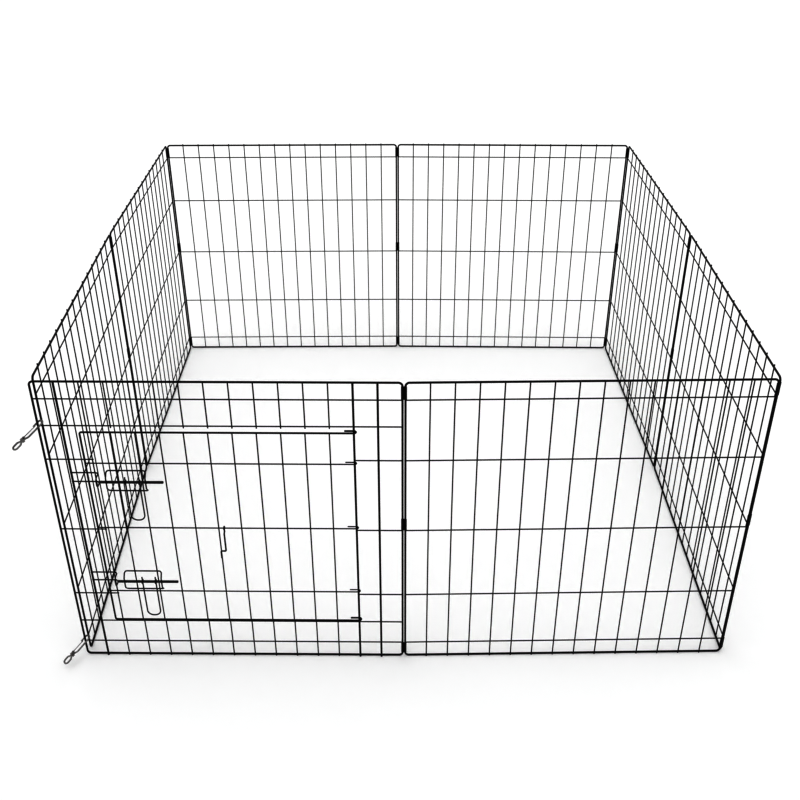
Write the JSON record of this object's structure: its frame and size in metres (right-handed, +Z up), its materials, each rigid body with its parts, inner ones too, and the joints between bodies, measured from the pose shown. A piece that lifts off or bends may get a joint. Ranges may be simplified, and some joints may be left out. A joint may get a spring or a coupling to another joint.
{
  "type": "folding wire pet playpen",
  "caption": "Folding pen of square wire-mesh panels joined by sleeve clips, with a hinged door, slide bolts and snap hooks at its open corner.",
  "frame": {"origin": "on the floor at the middle of the pen's width, between the front and back sides", "axes": "+Z up, -Y towards the side with the door, +X to the right seen from the front"},
  "size_m": [1.2587, 1.2876, 0.6104],
  "materials": {
    "panel_wire": "black satin-gloss coating over steel wire",
    "clip_sheet": "black satin coating over folded steel sheet",
    "door_wire": "black satin-gloss coating over steel wire",
    "latch_wire": "black satin-gloss coating over steel wire",
    "bolt_steel": "black coating over steel rod, rubbed where it slides",
    "snap_steel": "dull plated steel wire"
  },
  "bodies": {
    "front_left_panel": {"front_left_frame": "panel_wire", "front_left_uprights": "panel_wire", "front_left_crosswires": "panel_wire", "front_left_door_posts": "panel_wire", "lower_keeper": "latch_wire", "upper_keeper": "latch_wire", "front_mid_clips": "clip_sheet"},
    "front_right_panel": {"front_right_frame": "panel_wire", "front_right_uprights": "panel_wire", "front_right_crosswires": "panel_wire", "front_right_corner_clips": "clip_sheet"},
    "right_front_panel": {"right_front_frame": "panel_wire", "right_front_uprights": "panel_wire", "right_front_crosswires": "panel_wire", "right_mid_clips": "clip_sheet"},
    "right_back_panel": {"right_back_frame": "panel_wire", "right_back_uprights": "panel_wire", "right_back_crosswires": "panel_wire", "back_right_corner_clips": "clip_sheet"},
    "back_right_panel": {"back_right_frame": "panel_wire", "back_right_uprights": "panel_wire", "back_right_crosswires": "panel_wire", "back_mid_clips": "clip_sheet"},
    "back_left_panel": {"back_left_frame": "panel_wire", "back_left_uprights": "panel_wire", "back_left_crosswires": "panel_wire", "back_left_corner_clips": "clip_sheet"},
    "left_back_panel": {"left_back_frame": "panel_wire", "left_back_uprights": "panel_wire", "left_back_crosswires": "panel_wire", "left_mid_clips": "clip_sheet"},
    "left_front_panel": {"left_front_frame": "panel_wire", "left_front_uprights": "panel_wire", "left_front_crosswires": "panel_wire"},
    "door": {"door_frame": "door_wire", "door_crosswires": "door_wire", "door_uprights": "door_wire", "lower_cage": "latch_wire", "upper_cage": "latch_wire"},
    "door_hook": {"door_hook": "latch_wire"},
    "lower_bolt": {"lower_bolt": "bolt_steel"},
    "lower_pull": {"lower_pull": "latch_wire"},
    "lower_snap": {"lower_snap_hook": "snap_steel", "lower_snap_collar": "snap_steel"},
    "lower_gate": {"lower_snap_gate": "snap_steel"},
    "upper_bolt": {"upper_bolt": "bolt_steel"},
    "upper_pull": {"upper_pull": "latch_wire"},
    "upper_snap": {"upper_snap_hook": "snap_steel", "upper_snap_collar": "snap_steel"},
    "upper_gate": {"upper_snap_gate": "snap_steel"}
  },
  "joints": [
    {"name": "front_fold", "type": "hinge", "parent": "front_left_panel", "child": "front_right_panel", "pos_m": [0.00245, -0.61185, 0], "axis": [0, 0, 1], "range_deg": [-60, 0]},
    {"name": "front_right_corner_fold", "type": "hinge", "parent": "front_right_panel", "child": "right_front_panel", "pos_m": [0.61165, -0.59246, 0], "axis": [0, 0, 1], "range_deg": [-89, 0]},
    {"name": "right_fold", "type": "hinge", "parent": "right_front_panel", "child": "right_back_panel", "pos_m": [0.60625, 0.01841, 0], "axis": [0, 0, 1], "range_deg": [-60, 0]},
    {"name": "back_right_corner_fold", "type": "hinge", "parent": "right_back_panel", "child": "back_right_panel", "pos_m": [0.58159, 0.62746, 0], "axis": [0, 0, 1], "range_deg": [-87.5, 0]},
    {"name": "back_fold", "type": "hinge", "parent": "back_right_panel", "child": "back_left_panel", "pos_m": [-0.02928, 0.63273, 0], "axis": [0, 0, 1], "range_deg": [-60, 0]},
    {"name": "back_left_corner_fold", "type": "hinge", "parent": "back_left_panel", "child": "left_back_panel", "pos_m": [-0.63861, 0.61864, 0], "axis": [0, 0, 1], "range_deg": [-89.5, 0]},
    {"name": "end_panel_swing", "type": "hinge", "parent": "left_back_panel", "child": "left_front_panel", "pos_m": [-0.6332, 0.00777, 0], "axis": [0, 0, 1], "range_deg": [-120, 115]},
    {"name": "door_swing", "type": "hinge", "parent": "front_left_panel", "child": "door", "pos_m": [-0.08325, -0.61462, 0.0018], "axis": [0, 0, 1], "range_deg": [0, 160]},
    {"name": "lower_bolt_slide", "type": "slide", "parent": "door", "child": "lower_bolt", "axis": [1, 0, 0], "range_m": [-0.028, 0.006]},
    {"name": "lower_pull_lift", "type": "hinge", "parent": "lower_bolt", "child": "lower_pull", "pos_m": [-0.60845, -0.62631, 0.1958], "axis": [1, 0, 0], "range_deg": [-100, 0]},
    {"name": "upper_bolt_slide", "type": "slide", "parent": "door", "child": "upper_bolt", "axis": [1, 0, 0], "range_m": [-0.028, 0.006]},
    {"name": "upper_pull_lift", "type": "hinge", "parent": "upper_bolt", "child": "upper_pull", "pos_m": [-0.60845, -0.62631, 0.4178], "axis": [1, 0, 0], "range_deg": [-100, 0]},
    {"name": "door_hook_swing", "type": "hinge", "parent": "door", "child": "door_hook", "pos_m": [-0.60845, -0.61757, 0.3128], "axis": [1, 0, 0], "range_deg": [-150, 0]},
    {"name": "lower_snap_swivel", "type": "hinge", "parent": "front_left_panel", "child": "lower_snap", "pos_m": [-0.60845, -0.61191, 0.0348], "axis": [0, 0, 1], "range_deg": [-70, 0]},
    {"name": "lower_gate_open", "type": "hinge", "parent": "lower_snap", "child": "lower_gate", "pos_m": [-0.62912, -0.63051, 0.02257], "axis": [0.2876, 0.3308, -0.8988], "range_deg": [0, 7], "stiffness_Nm_per_rad": 0.05, "springref_deg": -5.73},
    {"name": "upper_snap_swivel", "type": "hinge", "parent": "front_left_panel", "child": "upper_snap", "pos_m": [-0.60845, -0.61191, 0.5228], "axis": [0, 0, 1], "range_deg": [-70, 0]},
    {"name": "upper_gate_open", "type": "hinge", "parent": "upper_snap", "child": "upper_gate", "pos_m": [-0.62912, -0.63051, 0.51057], "axis": [0.2876, 0.3308, -0.8988], "range_deg": [0, 7], "stiffness_Nm_per_rad": 0.05, "springref_deg": -5.73}
  ]
}
